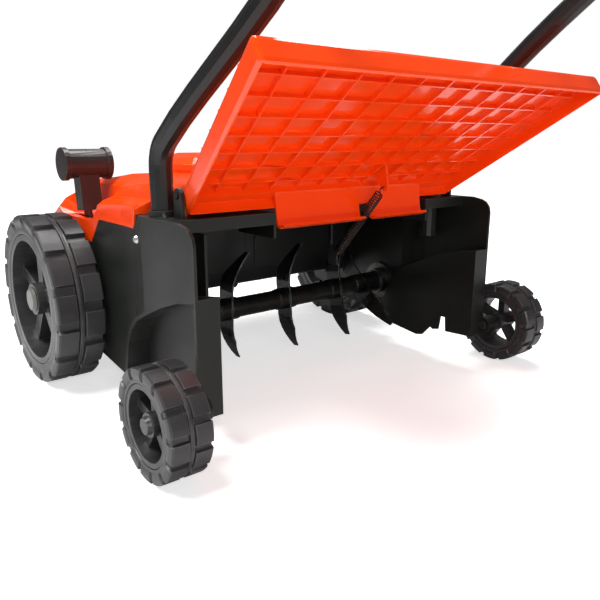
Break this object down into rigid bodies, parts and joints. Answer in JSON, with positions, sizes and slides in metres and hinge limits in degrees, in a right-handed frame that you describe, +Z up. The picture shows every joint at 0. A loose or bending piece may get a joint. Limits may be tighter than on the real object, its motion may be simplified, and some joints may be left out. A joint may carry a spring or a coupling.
{
  "type": "electric lawn scarifier",
  "caption": "Walk-behind electric lawn scarifier with a bladed rotor, raised rear flap, large front and small rear wheels, height lever and folding handle.",
  "frame": {"origin": "centre of the bounding box's footprint, on the ground", "axes": "+X to the machine's right as seen by the operator behind it, +Y forward in the direction of travel, +Z up"},
  "size_m": [0.538, 1.2685, 1.0222],
  "materials": {
    "blade": "blackened steel with bright worn edges",
    "deck": "satin moulded plastic, near black with a green cast",
    "knob": "satin plastic, near black brown",
    "motor": "grey aluminium motor casing",
    "orange": "glossy moulded plastic, orange-red",
    "rubber": "matt black rubber and foam",
    "spring": "oiled dark spring steel",
    "steel": "zinc-plated steel",
    "tube": "satin black powder coat on steel tube",
    "wheel": "hard satin plastic, dark grey"
  },
  "bodies": {
    "machine": {"left_side_panel": "deck", "right_side_panel": "deck", "left_panel_screw": "steel", "right_panel_screw": "steel", "rear_stub_left": "steel", "rear_stub_right": "steel", "lower_handle_left": "tube", "lower_handle_right": "tube", "tunnel_roof": "deck", "belt_wall": "deck", "tunnel_front_wall": "deck", "bearing_carrier": "steel", "motor_tray": "deck", "motor_body": "motor", "drive_belt": "rubber", "hood": "orange", "motor_cover": "orange", "flap_hinge_rod": "steel", "spring_bracket": "steel", "rotor_bearing_left": "steel", "rotor_bearing_right": "steel"},
    "front_axle_group": {"front_axle": "steel", "height_lever": "knob", "height_knob": "knob"},
    "front_wheel_left": {"front_wheel_left_tyre": "wheel", "front_wheel_left_rim": "wheel", "front_wheel_left_cap": "knob"},
    "front_wheel_right": {"front_wheel_right_tyre": "wheel", "front_wheel_right_rim": "wheel", "front_wheel_right_cap": "knob"},
    "rear_wheel_left": {"rear_wheel_left_tyre": "wheel", "rear_wheel_left_rim": "wheel"},
    "rear_wheel_right": {"rear_wheel_right_tyre": "wheel", "rear_wheel_right_rim": "wheel"},
    "rotor": {"rotor_shaft": "steel", "rotor_blade_1": "blade", "rotor_blade_2": "blade", "rotor_blade_3": "blade", "rotor_blade_4": "blade", "rotor_blade_5": "blade", "rotor_sleeve_1": "blade", "rotor_sleeve_2": "blade", "rotor_sleeve_3": "blade", "rotor_sleeve_4": "blade", "rotor_pulley": "steel"},
    "motor_rotor": {"motor_shaft": "steel", "motor_pulley": "steel", "cooling_fan": "knob"},
    "flap_body": {"flap": "orange"},
    "spring_body": {"flap_spring": "spring"},
    "upper_frame": {"upper_handle": "tube", "grip_sleeve": "rubber", "bail_clip_left": "knob", "bail_clip_right": "knob", "switch_box": "knob", "plug_inlet": "knob"},
    "button": {"lock_button": "orange"},
    "bail": {"bail_lever": "tube"},
    "clamp_left": {"clamp_knob_left": "knob"},
    "clamp_right": {"clamp_knob_right": "knob"}
  },
  "joints": [
    {"name": "height_adjust", "type": "hinge", "parent": "machine", "child": "front_axle_group", "pos_m": [0, 0.50433, 0.092], "axis": [1, 0, 0], "range_deg": [-6, 14]},
    {"name": "front_wheel_left_spin", "type": "hinge", "parent": "front_axle_group", "child": "front_wheel_left", "pos_m": [-0.238, 0.53433, 0.1], "axis": [1, 0, 0], "continuous": true},
    {"name": "front_wheel_right_spin", "type": "hinge", "parent": "front_axle_group", "child": "front_wheel_right", "pos_m": [0.238, 0.53433, 0.1], "axis": [1, 0, 0], "continuous": true},
    {"name": "rear_wheel_left_spin", "type": "hinge", "parent": "machine", "child": "rear_wheel_left", "pos_m": [-0.249, 0.22833, 0.051], "axis": [1, 0, 0], "continuous": true},
    {"name": "rear_wheel_right_spin", "type": "hinge", "parent": "machine", "child": "rear_wheel_right", "pos_m": [0.249, 0.22833, 0.051], "axis": [1, 0, 0], "continuous": true},
    {"name": "rotor_spin", "type": "hinge", "parent": "machine", "child": "rotor", "pos_m": [0, 0.41033, 0.081], "axis": [1, 0, 0], "continuous": true},
    {"name": "motor_spin", "type": "hinge", "parent": "machine", "child": "motor_rotor", "pos_m": [0, 0.55433, 0.15], "axis": [1, 0, 0], "continuous": true},
    {"name": "flap_hinge", "type": "hinge", "parent": "machine", "child": "flap_body", "pos_m": [0, 0.28833, 0.235], "axis": [1, 0, 0], "range_deg": [0, 38]},
    {"name": "flap_spring_pivot", "type": "hinge", "parent": "machine", "child": "spring_body", "pos_m": [0.036, 0.32733, 0.146], "axis": [1, 0, 0], "range_deg": [0, 5], "deforming": ["flap_spring"]},
    {"name": "handle_fold", "type": "hinge", "parent": "machine", "child": "upper_frame", "pos_m": [0, -0.02784, 0.53331], "axis": [1, 0, 0], "range_deg": [-150, 0]},
    {"name": "lock_button_press", "type": "slide", "parent": "upper_frame", "child": "button", "axis": [0, -0.6018, -0.7986], "range_m": [0, 0.004], "stiffness_N_per_m": 300, "springref_m": -0.002},
    {"name": "bail_squeeze", "type": "hinge", "parent": "upper_frame", "child": "bail", "pos_m": [0, -0.48706, 0.87935], "axis": [1, 0, 0], "range_deg": [0, 17], "stiffness_Nm_per_rad": 1.2, "springref_deg": -22.92},
    {"name": "clamp_knob_left_turn", "type": "hinge", "parent": "machine", "child": "clamp_left", "pos_m": [-0.19, -0.02784, 0.53331], "axis": [1, 0, 0], "continuous": true},
    {"name": "clamp_knob_right_turn", "type": "hinge", "parent": "machine", "child": "clamp_right", "pos_m": [0.19, -0.02784, 0.53331], "axis": [1, 0, 0], "continuous": true}
  ],
  "couplings": [
    {"joint": "motor_spin", "follows": "rotor_spin", "ratio": 2},
    {"joint": "flap_spring_pivot", "follows": "flap_hinge", "ratio": 0.06}
  ]
}
